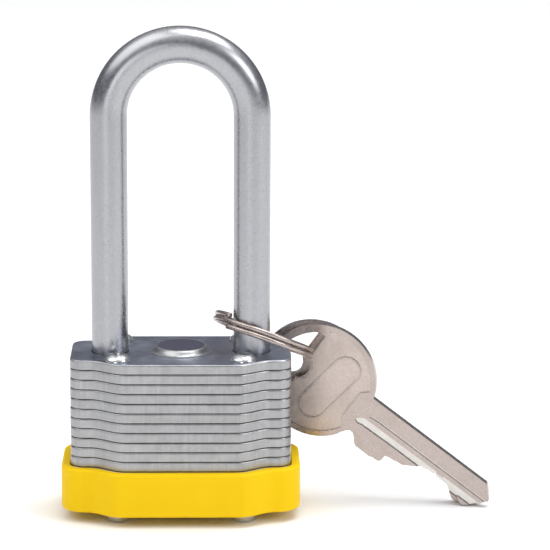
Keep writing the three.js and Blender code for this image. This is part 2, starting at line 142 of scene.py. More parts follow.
class PadlockFittingSizes(PropertyGroup):
    rivet_head: length("Rivet head", "Radius of a rivet's head", 2.35 * MM)
    rivet_shank: length("Rivet shank", "Radius of a rivet's shank", 1.6 * MM)
    cap_radius: length("Cap radius", "Radius of the pressed cap's collar", 5.6 * MM)
    cap_disc: length("Cap disc", "Radius of the dark disc on top of the cap", 4.3 * MM)
    bumper_wall: length("Bumper wall", "Thickness of the bumper's wall", 1.7 * MM)
    bumper_ease: length("Bumper edge", "Rounding of the bumper's edges", 0.55 * MM)


class PadlockKeySizes(PropertyGroup):
    bow: length("Bow radius", "Radius of the key's round bow", 10.4 * MM)
    thickness: length("Thickness", "Thickness of a key", 1.6 * MM)
    rim: length("Rim", "Width of the raised rim round the bow", 1.0 * MM)
    sink: length("Sink", "Depth of the bow's sunk field", 0.3 * MM)
    pitch: turn("Fall", "How far the blades point below level", 35.3)
    wire: length("Ring wire", "Radius of the split ring's wire", 0.47 * MM)
    ring: length("Ring radius", "Radius of the split ring at the middle of its wire", 9.0 * MM)


class PadlockFinishes(PropertyGroup):
    plate: paint("Plates", "Plated steel of the stack", (0.43, 0.43, 0.435))
    face: paint("Plate faces", "Duller top and bottom faces of the plates", (0.30, 0.32, 0.385))
    shackle: paint("Shackle", "Plated steel of the shackle", (0.39, 0.395, 0.412))
    rivet: paint("Rivets", "Bright steel of the rivets", (0.66, 0.67, 0.68))
    cap: paint("Cap", "Dull disc on top of the cap", (0.16, 0.155, 0.22))
    nickel: paint("Keys", "Nickel plate of the ring and keys", (0.45, 0.385, 0.355))
    field: paint("Key fields", "Sunk fields of the bows", (0.56, 0.48, 0.44))
    milled: paint("Milled faces", "Cut faces and grooves of the blades", (0.62, 0.59, 0.56))
    brass: paint("Cylinder", "Brass of the cylinder", (0.72, 0.53, 0.22))
    inner: paint("Inner steel", "Steel of the parts inside", (0.42, 0.44, 0.46))
    bumper: paint("Bumper", "Moulded plastic of the bumper", (0.88, 0.57, 0.0))


class PadlockStageSizes(PropertyGroup):
    lens: FloatProperty(name="Lens", description="Focal length on a 36 mm sensor", default=185.3, min=1.0)
    distance: length("Distance", "From the camera to the middle of the lock", 0.5)
    elevation: turn("Elevation", "Camera above level", 12.816)
    azimuth: turn("Azimuth", "Camera round to the right of the front", 0.717)
    roll: turn("Roll", "Turn of the camera about its own line of sight", 0.273)
    detail: IntProperty(name="Detail", description="Sides of the roundest pieces", default=72, min=12)


# ---- mesh building ---------------------------------------------------------------------
def make(name, verts, faces):
    mesh = bpy.data.meshes.new(name)
    mesh.from_pydata([tuple(v) for v in verts], [], faces)
    shape = bmesh.new()
    shape.from_mesh(mesh)
    bmesh.ops.recalc_face_normals(shape, faces=shape.faces)
    shape.to_mesh(mesh)
    shape.free()
    piece = bpy.data.objects.new(name, mesh)
    bpy.context.scene.collection.objects.link(piece)
    return piece


def loft(name, rings):
    """A closed body through rings of equally many points."""
    count = len(rings[0])
    verts = [point for ring in rings for point in ring]
    faces = [tuple(range(count))]
    for i in range(len(rings) - 1):
        for j in range(count):
            k = (j + 1) % count
            faces.append((i * count + j, i * count + k, (i + 1) * count + k, (i + 1) * count + j))
    faces.append(tuple(range((len(rings) - 1) * count, len(rings) * count)))
    return make(name, verts, faces)


def turned(name, profile, sides, at=(0, 0)):
    """A body turned about an upright axis, from (radius, height) pairs whose ends are on the axis."""
    verts = [(at[0], at[1], profile[0][1])]
    inner = profile[1:-1]
    for radius, z in inner:
        for j in range(sides):
            angle = 2 * math.pi * j / sides
            verts.append((at[0] + radius * math.cos(angle), at[1] + radius * math.sin(angle), z))
    verts.append((at[0], at[1], profile[-1][1]))
    faces = []
    last = len(verts) - 1
    for j in range(sides):
        k = (j + 1) % sides
        faces.append((0, 1 + k, 1 + j))
        for i in range(len(inner) - 1):
            a, b = 1 + i * sides, 1 + (i + 1) * sides
            faces.append((a + j, a + k, b + k, b + j))
        top = 1 + (len(inner) - 1) * sides
        faces.append((top + j, top + k, last))
    return make(name, verts, faces)


def post(x, y, z0, z1, radius, sides=48):
    ring = [(x + radius * math.cos(2 * math.pi * j / sides),
             y + radius * math.sin(2 * math.pi * j / sides)) for j in range(sides)]
    return loft("cutter", [[(px, py, z) for px, py in ring] for z in (z0, z1)])


def block(x0, x1, y0, y1, z0, z1):
    ring = [(x0, y0), (x1, y0), (x1, y1), (x0, y1)]
    return loft("cutter", [[(px, py, z) for px, py in ring] for z in (z0, z1)])


def prism(points, z0, z1):
    """A flat outline in X and Y between two heights."""
    return loft("cutter", [[(px, py, z) for px, py in points] for z in (z0, z1)])


def side_prism(points, y0, y1):
    """An outline in X and Z between two depths."""
    return loft("cutter", [[(px, y, pz) for px, pz in points] for y in (y0, y1)])


def settle(piece):
    """Makes the piece's modifiers part of its mesh."""
    graph = bpy.context.evaluated_depsgraph_get()
    mesh = bpy.data.meshes.new_from_object(piece.evaluated_get(graph), preserve_all_data_layers=True,
                                           depsgraph=graph)
    old = piece.data
    piece.modifiers.clear()
    piece.data = mesh
    bpy.data.meshes.remove(old)
    return piece


def cut(piece, *others):
    """Takes the other bodies out of the piece and removes them."""
    for other in others:
        step = piece.modifiers.new("cut", "BOOLEAN")
        step.operation = "DIFFERENCE"
        step.solver = "EXACT"
        step.object = other
    bpy.context.view_layer.update()
    settle(piece)
    for other in others:
        mesh = other.data
        bpy.data.objects.remove(other)
        bpy.data.meshes.remove(mesh)
    return piece


def bevel(piece, width, segments=2, angle=35):
    step = piece.modifiers.new("edges", "BEVEL")
    step.width = width
    step.segments = segments
    step.limit_method = "ANGLE"
    step.angle_limit = math.radians(angle)
    step.use_clamp_overlap = True
    bpy.context.view_layer.update()
    return settle(piece)


def done(piece, name, material, body, nodes, angle=38):
    """Names and shades the finished piece, and ties it to the CAD body and nodes that it stands for."""
    piece.name = name
    piece.data.name = name
    piece.data.materials.clear()
    piece.data.materials.append(material)
    piece.data.shade_smooth()
    piece.data.set_sharp_from_angle(angle=math.radians(angle))
    step = piece.modifiers.new("flats", "WEIGHTED_NORMAL")
    step.keep_sharp = True
    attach(piece, body)
    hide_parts(*nodes)
    return piece


def arc(x, y, radius, start, end, steps):
    return [(x + radius * math.cos(start + (end - start) * i / steps),
             y + radius * math.sin(start + (end - start) * i / steps)) for i in range(steps + 1)]


def body_outline(margin):
    """The stack's outline seen from above: a raised middle that steps down to a lobe at each end."""
    sizes = bpy.context.scene.padlock_body
    high = BODY_DEPTH / 2 + margin
    low = sizes.lobe_depth / 2 + margin
    end = BODY_WIDTH / 2 + margin
    radius = sizes.corner + margin
    steps = 16
    quarter = []
    for i in range(steps + 1):
        part = i / steps
        x = sizes.middle_half + (sizes.lobe_start - sizes.middle_half) * part + margin / 2
        quarter.append((x, low + (high - low) * (1 + math.cos(math.pi * part)) / 2))
    quarter += arc(end - radius, low - radius, radius, math.pi / 2, 0, 10)
    flip = lambda sx, sy: [(sx * x, sy * y) for x, y in quarter]
    return flip(1, 1) + flip(1, -1)[::-1] + flip(-1, -1) + flip(-1, 1)[::-1]


def eased_slab(name, margin, z0, z1, low_ease, high_ease, steps=4):
    """The body outline raised from z0 to z1, its lower and upper edges rounded."""
    rings = []
    for z, ease, sign in ((z0, low_ease, 1), (z1, high_ease, -1)):
        edge = []
        for i in range(steps + 1):
            angle = math.pi / 2 * i / steps
            inset = ease * (1 - math.sin(angle))
            edge.append([(x, y, z + sign * ease * (1 - math.cos(angle)))
                         for x, y in body_outline(margin - inset)])
        rings += edge if sign > 0 else edge[::-1]
    return loft(name, rings)


def tube(name, stations, sides, upright=None):
    """A round body swept through (point, radius) stations, with its run kept in a UV map."""
    points = [Vector(point) for point, _ in stations]
    runs = [0.0]
    for a, b in zip(points, points[1:]):
        runs.append(runs[-1] + (b - a).length)
    verts, side = [], None
    for i, point in enumerate(points):
        ahead = points[min(i + 1, len(points) - 1)]
        behind = points[max(i - 1, 0)]
        along = (ahead - behind).normalized()
        if side is None:
            side = Vector(upright or (0, 1, 0))
        side = (side - along * side.dot(along)).normalized()
        other = along.cross(side)
        for j in range(sides):
            angle = 2 * math.pi * j / sides
            verts.append(point + (side * math.cos(angle) + other * math.sin(angle)) * stations[i][1])
    faces = [tuple(range(sides))]
    for i in range(len(points) - 1):
        for j in range(sides):
            k = (j + 1) % sides
            faces.append((i * sides + j, i * sides + k, (i + 1) * sides + k, (i + 1) * sides + j))
    faces.append(tuple(range((len(points) - 1) * sides, len(points) * sides)))
    piece = make(name, verts, faces)
    layer = piece.data.uv_layers.new(name="run")
    for polygon in piece.data.polygons:
        if len(polygon.vertices) != 4:
            continue
        corners = [(v % sides, v // sides) for v in polygon.vertices]
        wraps = max(c[0] for c in corners) - min(c[0] for c in corners) > 1
        for loop, (j, i) in zip(polygon.loop_indices, corners):
            around = sides if wraps and j == 0 else j
            layer.data[loop].uv = (around / sides * 2 * math.pi * stations[1][1], runs[i])
    return piece


# ---- finishes --------------------------------------------------------------------------
class Finish:
    """Builds one material node by node."""

    def __init__(self, name, metallic):
        self.material = bpy.data.materials.new(name)
        self.material.use_nodes = True
        self.tree = self.material.node_tree
        self.shader = self.tree.nodes["Principled BSDF"]
        self.shader.inputs["Metallic"].default_value = metallic
        self.spot = self.add("ShaderNodeTexCoord").outputs["Object"]

    def add(self, kind, **inputs):
        node = self.tree.nodes.new(kind)
        for name, value in inputs.items():
            self.feed(node.inputs[name.replace("_", " ")], value)
        return node

    def feed(self, socket, value):
        if isinstance(value, bpy.types.NodeSocket):
            self.tree.links.new(value, socket)
        else:
            socket.default_value = value

    def run(self):
        """The UV map along a swept piece, in metres."""
        node = self.tree.nodes.new("ShaderNodeUVMap")
        node.uv_map = "run"
        return node.outputs["UV"]

    def part_height(self):
        """0 at the piece's underside and 1 at its top."""
        node = self.add("ShaderNodeTexCoord")
        return self.add("ShaderNodeSeparateXYZ", Vector=node.outputs["Generated"]).outputs["Z"]

    def noise(self, scale, stretch=(1, 1, 1), detail=3.0, rough=0.55, spot=None):
        """Noise with features of about 1/scale of a metre, drawn out where the stretch is small."""
        mapped = self.add("ShaderNodeMapping", Vector=spot or self.spot, Scale=stretch)
        node = self.add("ShaderNodeTexNoise", Vector=mapped.outputs["Vector"], Scale=scale,
                        Detail=detail, Roughness=rough)
        return node.outputs["Fac"]

    def spread(self, value, low, high, to_low, to_high):
        node = self.add("ShaderNodeMapRange", Value=value)
        for key, number in (("From Min", low), ("From Max", high), ("To Min", to_low), ("To Max", to_high)):
            node.inputs[key].default_value = number
        return node.outputs["Result"]

    def blend(self, factor, first, second):
        node = self.tree.nodes.new("ShaderNodeMix")
        node.data_type = "RGBA"
        colours = [s for s in node.inputs if s.type == "RGBA"]
        self.feed(node.inputs[0], factor)
        for socket, value in zip(colours, (first, second)):
            plain = isinstance(value, (tuple, list)) and len(value) == 3
            self.feed(socket, (*value, 1.0) if plain else value)
        return next(s for s in node.outputs if s.type == "RGBA")

    def sum(self, first, second, weight):
        node = self.tree.nodes.new("ShaderNodeMath")
        node.operation = "MULTIPLY_ADD"
        self.feed(node.inputs[0], second)
        self.feed(node.inputs[1], weight)
        self.feed(node.inputs[2], first)
        return node.outputs[0]

    def relief(self, height, strength, distance):
        node = self.add("ShaderNodeBump", Height=height)
        node.inputs["Strength"].default_value = strength
        node.inputs["Distance"].default_value = distance
        self.feed(self.shader.inputs["Normal"], node.outputs["Normal"])

    def colour(self, value):
        self.feed(self.shader.inputs["Base Color"], value)

    def roughness(self, value):
        self.feed(self.shader.inputs["Roughness"], value)


def shade(colour, factor):
    return tuple(min(1.0, c * factor) for c in colour)


def plate_finish(colour, face_colour):
    """Satin plated steel with the upright drag marks of blanking and a slightly different tone per plate."""
    f = Finish("plate_steel", 1.0)
    drag = f.noise(2600, (1, 1, 0.06), 4.0, 0.6)
    mottle = f.noise(420, (1, 1, 1), 5.0, 0.6)
    cloud = f.noise(70, (1, 1, 1), 2.0)
    tone = f.blend(f.spread(mottle, 0.35, 0.7, 0.0, 1.0), shade(colour, 0.80), shade(colour, 1.08))
    tone = f.blend(f.spread(drag, 0.3, 0.75, 0.0, 0.45), tone, shade(colour, 0.62))
    each = f.add("ShaderNodeObjectInfo").outputs["Random"]
    tone = f.blend(f.spread(each, 0.0, 1.0, 0.0, 0.22), tone, shade(colour, 0.7))
    tone = f.blend(f.spread(cloud, 0.4, 0.7, 0.0, 0.25), tone, shade(colour, 1.15))
    # the face is darker than the sheared edge, and a near-black band along each plate's underside is painted
    # shade in the gap where two plates meet
    brushed = f.noise(900, (0.12, 1, 1), 4.0, 0.65)
    face = f.blend(f.spread(mottle, 0.3, 0.7, 0.0, 1.0), shade(face_colour, 0.78), face_colour)
    face = f.blend(f.spread(brushed, 0.55, 0.72, 0.0, 0.5), face, shade(face_colour, 1.6))
    face = f.blend(f.spread(cloud, 0.48, 0.66, 0.0, 0.5), face, shade(face_colour, 1.7))
    height = f.part_height()
    tone = f.blend(f.spread(height, 0.93, 0.99, 0.0, 1.0), tone, face)
    # painted shade: the lowest part of each plate fades to near-black, standing for the shade between plates
    tone = f.blend(f.spread(height, 0.07, 0.0, 0.0, 1.0), tone, (0.05, 0.05, 0.05))
    f.colour(tone)
    f.roughness(f.spread(f.sum(mottle, drag, 0.6), 0.5, 1.1, 0.27, 0.46))
    f.relief(f.sum(mottle, drag, 0.8), 0.4, 0.04 * MM)
    return f.material


def shackle_finish(colour):
    """Satin plated bar with faint marks along its run, small pits and clouding."""
    f = Finish("shackle_steel", 1.0)
    run = f.run()
    draw = f.noise(1700, (1, 0.05, 1), 4.0, 0.6, run)
    pits = f.noise(1500, (1, 1, 1), 3.0, 0.6)
    cloud = f.noise(110, (1, 1, 1), 3.0)
    tone = f.blend(f.spread(pits, 0.35, 0.65, 0.0, 1.0), shade(colour, 0.93), shade(colour, 1.04))
    tone = f.blend(f.spread(draw, 0.5, 0.78, 0.0, 0.25), tone, shade(colour, 0.75))
    tone = f.blend(f.spread(cloud, 0.4, 0.7, 0.0, 0.3), tone, shade(colour, 1.12))
    f.colour(tone)
    f.roughness(f.spread(f.sum(cloud, pits, 0.8), 0.6, 1.15, 0.22, 0.34))
    f.relief(f.sum(pits, draw, 0.5), 0.18, 0.02 * MM)
    return f.material


def plain_metal(name, colour, low, high, scale=900, stretch=(1, 1, 1), depth=0.03, strength=0.3, calm=0.0):
    """A metal with fine mottling, for the smaller pieces."""
    f = Finish(name, 1.0)
    grain = f.noise(scale, stretch, 4.0, 0.6)
    cloud = f.noise(scale / 7, (1, 1, 1), 3.0)
    tone = f.blend(f.spread(grain, 0.35, 0.7, 0.0, 1.0), shade(colour, 0.82 + 0.14 * calm),
                   shade(colour, 1.08 - 0.05 * calm))
    tone = f.blend(f.spread(cloud, 0.42, 0.68, 0.0, 0.35 - 0.2 * calm), tone, shade(colour, 0.72))
    f.colour(tone)
    f.roughness(f.spread(f.sum(grain, cloud, 0.7), 0.55, 1.05, low, high))
    f.relief(grain, strength, depth * MM)
    return f.material


def bumper_finish(colour):
    """Moulded plastic with a fine spark texture, faint scuffs and a soft gloss."""
    f = Finish("bumper_plastic", 0.0)
    spark = f.noise(3200, (1, 1, 1), 2.0)
    flow = f.noise(55, (1, 1, 0.4), 3.0)
    scuff = f.noise(600, (1, 0.4, 5), 5.0, 0.65)
    tone = f.blend(f.spread(flow, 0.35, 0.7, 0.0, 1.0), shade(colour, 0.95), colour)
    tone = f.blend(f.spread(scuff, 0.68, 0.82, 0.0, 0.15), tone, shade(colour, 1.12))
    f.colour(tone)
    f.roughness(f.spread(f.sum(spark, scuff, 0.6), 0.5, 1.1, 0.4, 0.55))
    f.relief(spark, 0.12, 0.03 * MM)
    f.shader.inputs["Specular IOR Level"].default_value = 0.15
    return f.material


def floor_finish():
    f = Finish("floor", 0.0)
    cloud = f.noise(3, (1, 1, 1), 2.0)
    f.colour(f.blend(f.spread(cloud, 0.3, 0.7, 0.0, 1.0), (0.90, 0.90, 0.90), (0.93, 0.93, 0.93)))
    f.roughness(f.spread(cloud, 0.3, 0.7, 0.7, 0.8))
    return f.material


FINISHES = {}


def finishes():
    if not FINISHES:
        c = bpy.context.scene.padlock_finishes
        FINISHES["plate"] = plate_finish(tuple(c.plate), tuple(c.face))
        FINISHES["shackle"] = shackle_finish(tuple(c.shackle))
        FINISHES["rivet"] = plain_metal("rivet_steel", tuple(c.rivet), 0.16, 0.24, 1500, (1, 1, 1),
                                        0.002, 0.05, 1.0)
        FINISHES["collar"] = plain_metal("collar_steel", shade(tuple(c.rivet), 0.62), 0.26, 0.36, 1400,
                                         (1, 1, 1), 0.004, 0.1, 0.8)
        FINISHES["cap"] = plain_metal("cap_steel", tuple(c.cap), 0.34, 0.5, 1300)
        FINISHES["nickel"] = plain_metal("key_nickel", tuple(c.nickel), 0.2, 0.34, 1800, (1, 1, 1),
                                         0.008, 0.15, 0.7)
        FINISHES["field"] = plain_metal("key_field", tuple(c.field), 0.3, 0.45, 1500, (1, 1, 1),
                                        0.015, 0.25, 0.4)
        FINISHES["milled"] = plain_metal("key_milled", tuple(c.milled), 0.16, 0.28, 1600, (0.1, 1, 1),
                                         0.006, 0.15, 0.8)
        FINISHES["brass"] = plain_metal("cylinder_brass", tuple(c.brass), 0.24, 0.4, 1200)
        FINISHES["inner"] = plain_metal("inner_steel", tuple(c.inner), 0.3, 0.5, 1000)
        FINISHES["spring"] = plain_metal("spring_steel", shade(tuple(c.inner), 1.3), 0.25, 0.4, 2000)
        FINISHES["bumper"] = bumper_finish(tuple(c.bumper))
        FINISHES["floor"] = floor_finish()
    return FINISHES


# ---- the stack -------------------------------------------------------------------------
def plate_cutters(index):
    """The holes of one plate: legs, rivets, dogs, actuator, cylinder and its pin chambers."""
    toe_plates = 6
    dog_plates = (1, 2)
    actuator_plate = 3
    retaining_plate = 5
    first_cylinder_plate = 4
    first_chamber_plate = 6
    last = PLATE_COUNT - 1
    over = 0.5 * MM
    top, bottom = level(index) + over, level(index + 1) - over
    leg_hole = LEG_RADIUS + 0.12 * MM
    wide_gap, close_gap = 0.2 * MM, 0.1 * MM
    chamber_half = 3.0 * MM
    cutters = [post(spot.x, spot.y, bottom, top, RIVET_HOLE, 32) for spot in RIVETS.values()]
    if index < toe_plates:
        cutters.append(post(-LEG_CENTRE, 0, bottom, top, leg_hole, 64))
    if index < last:
        cutters.append(post(LEG_CENTRE, 0, bottom, top, leg_hole, 64))
    if index == 0:
        cutters.append(post(0, 0, bottom, top, CAP_HOLE))
    if index in dog_plates:
        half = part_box("left_locking_dog")[1][1] + wide_gap
        cutters.append(block(-LEG_CENTRE, LEG_CENTRE, -half, half, bottom, top))
    if index == actuator_plate:
        cutters.append(post(0, 0, bottom, top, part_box("actuator")[1][0] + wide_gap, 64))
    housing_low, housing_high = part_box("cylinder_housing")
    if first_cylinder_plate <= index < last:
        cutters.append(post(0, 0, bottom, top, housing_high[1] + close_gap, 64))
    if first_chamber_plate <= index < last:
        cutters.append(block(housing_low[0] - MM, 0, -chamber_half, chamber_half, bottom, top))
    if index == retaining_plate:
        pin_low, pin_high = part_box("heel_retaining_pin")
        cutters.append(block(pin_low[0] - over, pin_high[0] + wide_gap, pin_low[1] - close_gap,
                             pin_high[1] + close_gap, bottom, top))
    if index == last:
        cutters.append(post(0, 0, bottom, top, PLUG_HOLE, 64))
    return cutters


class PADLOCK_OT_plates(Operator):
    """Builds the stack of blanked plates, each with its rounded upper edge and its holes"""
    bl_idname = "padlock.plates"
    bl_label = "Laminated Plates"

    def execute(self, context):
        sizes = context.scene.padlock_body
        draw = random.Random(11)
        for index in range(PLATE_COUNT):
            top = level(index)
            piece = eased_slab("plate", 0.0, top - PLATE_THICK, top, sizes.lower_ease, sizes.upper_ease)
            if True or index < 2:
                cut(piece, *plate_cutters(index))
            piece.data.transform(Matrix.Translation((
                draw.uniform(-1, 1) * sizes.stray, draw.uniform(-1, 1) * sizes.stray, 0)))
            node = f"plate_{index + 1:02d}"
            done(piece, f"stack_{node}", finishes()["plate"], "lock_body", [node])
        return {"FINISHED"}


class PADLOCK_OT_rivets(Operator):
    """Turns the four rivets, domed on top and flattened below into feet"""
    bl_idname = "padlock.rivets"
    bl_label = "Rivets"

    def execute(self, context):
        sizes = context.scene.padlock_fittings
        head, shank = sizes.rivet_head, sizes.rivet_shank
        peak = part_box("rivet_front_left")[1][2] + 0.35 * MM
        rim = TOP + 0.1 * MM
        foot_flat, foot_round, foot_ease = 1.2 * MM, 1.45 * MM, 0.04 * MM
        shoulder = BUMPER_LOW.z - SEAT
        foot_steps, dome_steps = 8, 12
        for node, spot in RIVETS.items():
            profile = [(0, FOOT), (foot_flat, FOOT), (foot_round, FOOT + foot_ease)]
            foot_height = shoulder - 0.12 * MM - FOOT - foot_ease
            for i in range(1, foot_steps + 1):
                angle = math.pi / 2 * i / foot_steps
                profile.append((foot_round + (head - foot_round) * math.sin(angle),
                                FOOT + foot_ease + foot_height * (1 - math.cos(angle))))
            profile += [(head, shoulder), (shank, shoulder), (shank, TOP + SEAT),
                        (head - 0.05 * MM, TOP + SEAT), (head, rim)]
            for i in range(1, dome_steps + 1):
                angle = math.pi / 2 * i / dome_steps
                profile.append((head * math.cos(angle) if i < dome_steps else 0.0,
                                rim + (peak - rim) * math.sin(angle)))
            piece = turned("rivet", profile, 48, (spot.x, spot.y))
            done(piece, f"domed_{node}", finishes()["rivet"], "lock_body", [node])
        return {"FINISHED"}


class PADLOCK_OT_cap(Operator):
    """Turns the pressed cap: a dark disc on a bright sloping collar"""
    bl_idname = "padlock.cap"
    bl_label = "Top Cap"

    def execute(self, context):
        sizes = context.scene.padlock_fittings
        radius, disc = sizes.cap_radius, sizes.cap_disc
        low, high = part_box("top_cap")
        flat = high[2]
        seat = TOP + SEAT
        ease, sink = 0.12 * MM, 0.05 * MM
        skirt = 0.06  # share of the cap's height at the collar's edge
        profile = [(0, low[2]), (CAP_STEM, low[2]), (CAP_STEM, seat), (radius, seat),
                   (radius, seat + 0.03 * MM)]
        steps = 10
        for i in range(1, steps + 1):
            part = i / steps
            swell = (0.5 - 0.5 * math.cos(math.pi * part)) ** 1.5
            profile.append((radius + (disc - radius) * part,
                            seat + (flat - seat) * (skirt + (1 - skirt) * swell)))
        profile += [(disc - ease, flat), (disc - 2 * ease, flat - sink), (0, flat - sink)]
        piece = turned("cap", profile, context.scene.padlock_stage.detail)
        done(piece, "pressed_cap", finishes()["collar"], "lock_body", ["top_cap"])
        piece.data.materials.append(finishes()["cap"])
        for face in piece.data.polygons:
            on_disc = Vector(face.center[:2]).length < disc - 0.14 * MM
            if face.center.z > flat - 2 * sink and on_disc:
                face.material_index = 1
        return {"FINISHED"}


class PADLOCK_OT_bumper(Operator):
    """Moulds the bumper round the lowest plates"""
    bl_idname = "padlock.bumper"
    bl_label = "Bumper"

    def execute(self, context):
        sizes = context.scene.padlock_fittings
        piece = eased_slab("bumper", sizes.bumper_wall, BUMPER_LOW.z, BUMPER_HIGH.z,
                           sizes.bumper_ease, sizes.bumper_ease, 6)
        gap, lip, rim = 0.07 * MM, 0.25 * MM, 0.3 * MM
        inside, mouth = body_outline(gap), body_outline(gap + 2 * lip)
        pocket = loft("pocket", [
            [(x, y, STACK_BOTTOM) for x, y in inside],
            [(x, y, BUMPER_HIGH.z - lip) for x, y in inside],
            [(x, y, BUMPER_HIGH.z + lip) for x, y in mouth],
        ])
        low, high = BUMPER_LOW.z - MM, STACK_BOTTOM + MM
        keyhole = 6.4 * MM
        opening = turned("opening", [
            (0, low), (keyhole + rim + MM, low), (keyhole + rim, BUMPER_LOW.z - 0.01 * MM),
            (keyhole, BUMPER_LOW.z + rim), (keyhole, high), (0, high)], 64)
        holes = [post(spot.x, spot.y, low, high, RIVET_HOLE, 32) for spot in RIVETS.values()]
        cut(piece, pocket, opening, *holes)
        done(piece, "moulded_bumper", finishes()["bumper"], "lock_body", ["bumper"], 50)
        return {"FINISHED"}


class PADLOCK_OT_shackle(Operator):
    """Bends the shackle and cuts its locking notches, heel flat and spring bore"""
    bl_idname = "padlock.shackle"
    bl_label = "Shackle"

    def execute(self, context):
        radius, reach = LEG_RADIUS, LEG_CENTRE
        crown = SHACKLE_HIGH.z - LEG_RADIUS - LEG_CENTRE
        heel_end = SHACKLE_LOW.z
        toe_end = TOP - 8.5 * MM
        ease = 0.5 * MM
        ease_rise, ease_in = 0.15 * MM, 0.2 * MM
        stations = [((-reach, 0, toe_end), radius - ease),
                    ((-reach, 0, toe_end + ease_rise), radius - ease_in),
                    ((-reach, 0, toe_end + ease), radius)]
        run = 12
        for i in range(1, run):
            z = toe_end + ease + (crown - toe_end - ease) * i / run
            stations.append(((-reach, 0, z), radius))
        bends = 64
        for i in range(bends + 1):
            angle = math.pi * (1 - i / bends)
            stations.append(((reach * math.cos(angle), 0, crown + reach * math.sin(angle)), radius))
        for i in range(1, run):
            stations.append(((reach, 0, crown + (heel_end + ease - crown) * i / run), radius))
        stations += [((reach, 0, heel_end + ease), radius),
                     ((reach, 0, heel_end + ease_rise), radius - ease_in),
                     ((reach, 0, heel_end), radius - ease)]
        piece = tube("shackle", stations, context.scene.padlock_stage.detail, (0, 1, 0))
        dog_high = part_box("right_locking_dog")[1]
        floor = dog_high[0] + 0.1 * MM
        roof = dog_high[2] + 0.2 * MM
        bottom = TOP - 4.5 * MM
        slope = bottom - 3.1 * MM
        across = 4 * MM
        cutters = []
        for side in (-1, 1):
            inner = side * (reach - radius - MM)
            cutters.append(side_prism([
                (inner, roof), (side * floor, roof), (side * floor, bottom),
                (side * (reach - radius - 0.1 * MM), slope), (inner, slope)], -across, across))
        pin_low, pin_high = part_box("heel_retaining_pin")
        travel = JOINTS["shackle_rise"]["range_m"][1]
        gap = 0.15 * MM
        cutters.append(block(reach - radius - MM, pin_high[0] + 0.1 * MM, -across, across,
                             pin_low[2] - travel - gap, pin_high[2] + gap))
        spring_bore, spring_depth = 1.6 * MM, 8 * MM
        cutters.append(post(reach, 0, heel_end - MM, heel_end + spring_depth, spring_bore, 32))
        cut(piece, *cutters)
        done(piece, "bent_shackle", finishes()["shackle"], "shackle", ["shackle"])
        return {"FINISHED"}


# ---- the key cylinder ------------------------------------------------------------------
class PADLOCK_OT_cylinder(Operator):
    """Turns the plug with its keyway, and finishes the working parts inside the stack"""
    bl_idname = "padlock.cylinder"
    bl_label = "Cylinder"

    def execute(self, context):
        radius = PLUG_HIGH.x
        nose = 5.0 * MM
        shoulder = level(PLATE_COUNT - 1) + 0.2 * MM
        ease = 0.2 * MM
        piece = turned("plug", [
            (0, PLUG_LOW.z), (nose - ease, PLUG_LOW.z), (nose - ease * 0.3, PLUG_LOW.z + ease * 0.3),
            (nose, PLUG_LOW.z + ease), (nose, shoulder), (radius, shoulder), (radius, PLUG_HIGH.z),
            (0, PLUG_HIGH.z)], 64)
        left, right, half = -3.9 * MM, 4.7 * MM, 1.15 * MM
        low = PLUG_LOW.z - MM
        slot = block(left, right, -half, half, low, TOP - 9.2 * MM)
        # funnel round the keyway's mouth
        mouth = loft("mouth", [
            [(x, y, PLUG_LOW.z - 0.01 * MM) for x, y in (
                (left - ease, -half - ease), (right + ease, -half - ease),
                (right + ease, half + ease), (left - ease, half + ease))],
            [(x, y, PLUG_LOW.z + ease) for x, y in (
                (left, -half), (right, -half), (right, half), (left, half))],
        ])
        # the room for the bar of the actuator
        tang = block(-3.35 * MM, 3.35 * MM, -0.9 * MM, 0.9 * MM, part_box("actuator")[0][2] - 0.15 * MM, TOP)
        bores = []
        for i in range(1, 5):
            low_pin, high_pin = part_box(f"key_pin_{i}")
            middle = (low_pin[2] + high_pin[2]) / 2
            bore = post(0, 0, -radius - MM, left + 0.5 * MM, (high_pin[1] - low_pin[1]) / 2 + 0.08 * MM, 24)
            bore.data.transform(Matrix.Translation((0, 0, middle)) @ Matrix.Rotation(math.pi / 2, 4, "Y"))
            bores.append(bore)
        cut(piece, slot, mouth, tang, *bores)
        done(piece, "turned_plug", finishes()["brass"], "plug", ["plug"])
        looks = {"cylinder_housing": "brass", "pin_chamber_cover": "brass", "key_pin": "brass",
                 "heel_retaining_pin": "inner", "actuator": "inner", "locking_dog": "inner",
                 "driver_pin": "inner", "spring": "spring"}
        for name, node in frame["nodes"].items():
            for part, look in looks.items():
                if part in name:
                    node.data.materials.clear()
                    node.data.materials.append(finishes()[look])
        return {"FINISHED"}


# ---- springs ---------------------------------------------------------------------------
def coil(name, start, end, radius, wire, turns):
    """An open-wound spring from one point to another, its middle line at the radius."""
    start, end = Vector(start), Vector(end)
    along = (end - start).normalized()
    side = along.orthogonal().normalized()
    other = along.cross(side)
    steps = turns * 20
    inset = along * wire
    stations = []
    for i in range(steps + 1):
        angle = 2 * math.pi * turns * i / steps
        point = (start + inset).lerp(end - inset, i / steps)
        stations.append((tuple(point + (side * math.cos(angle) + other * math.sin(angle)) * radius), wire))
    return tube(name, stations, 10, tuple(along))


